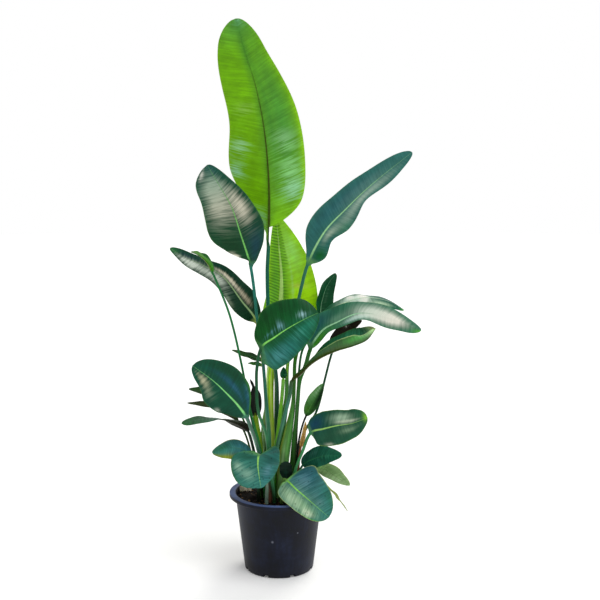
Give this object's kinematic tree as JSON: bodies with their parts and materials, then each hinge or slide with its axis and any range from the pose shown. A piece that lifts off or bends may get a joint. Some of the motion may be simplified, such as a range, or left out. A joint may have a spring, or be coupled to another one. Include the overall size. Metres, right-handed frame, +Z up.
{
  "type": "potted giant white bird of paradise plant",
  "caption": "Tall foliage plant in a tapered black nursery pot: a clump of upright stalks carries broad paddle-shaped leaves that fan out to both sides, the tallest one backlit lime green.",
  "frame": {"origin": "centre of the pot's underside, on the floor", "axes": "+Z up along the pot's axis, +X to the plant's right as seen from the front, +Y to the back"},
  "size_m": [0.7329, 0.3534, 1.6252],
  "materials": {
    "pot": "satin moulded polypropylene",
    "soil": "loose damp potting mix",
    "young_leaf": "thin and translucent, satin",
    "mature_leaf": "waxy, semi-gloss",
    "pale_leaf": "satin",
    "dried_leaf": "dry, matte"
  },
  "bodies": {
    "root": {"pot": "pot", "soil": "soil", "leaf_giant_lime": "young_leaf", "leaf_second_lime": "young_leaf", "leaf_upper_left": "mature_leaf", "leaf_folded_left": "mature_leaf", "leaf_long_left": "mature_leaf", "leaf_upper_right": "mature_leaf", "leaf_small_upright": "mature_leaf", "leaf_arching_back": "mature_leaf", "leaf_arching_front": "mature_leaf", "leaf_shaded": "mature_leaf", "leaf_boat_right": "mature_leaf", "leaf_centre": "mature_leaf", "leaf_narrow_left": "mature_leaf", "leaf_light_tip": "pale_leaf", "leaf_broad_left": "mature_leaf", "leaf_dark_inner": "mature_leaf", "leaf_level_left": "mature_leaf", "leaf_high_tip_left": "mature_leaf", "leaf_low_tip_left": "mature_leaf", "leaf_low_left": "mature_leaf", "leaf_low_front": "mature_leaf", "leaf_over_rim": "mature_leaf", "leaf_pointed_right": "mature_leaf", "leaf_pale_right": "pale_leaf", "leaf_sliver_right": "pale_leaf", "leaf_middle_right": "mature_leaf", "leaf_small_right": "pale_leaf", "leaf_dark_centre": "mature_leaf", "leaf_rolled": "mature_leaf", "dried_stalk": "dried_leaf"}
  },
  "joints": []
}
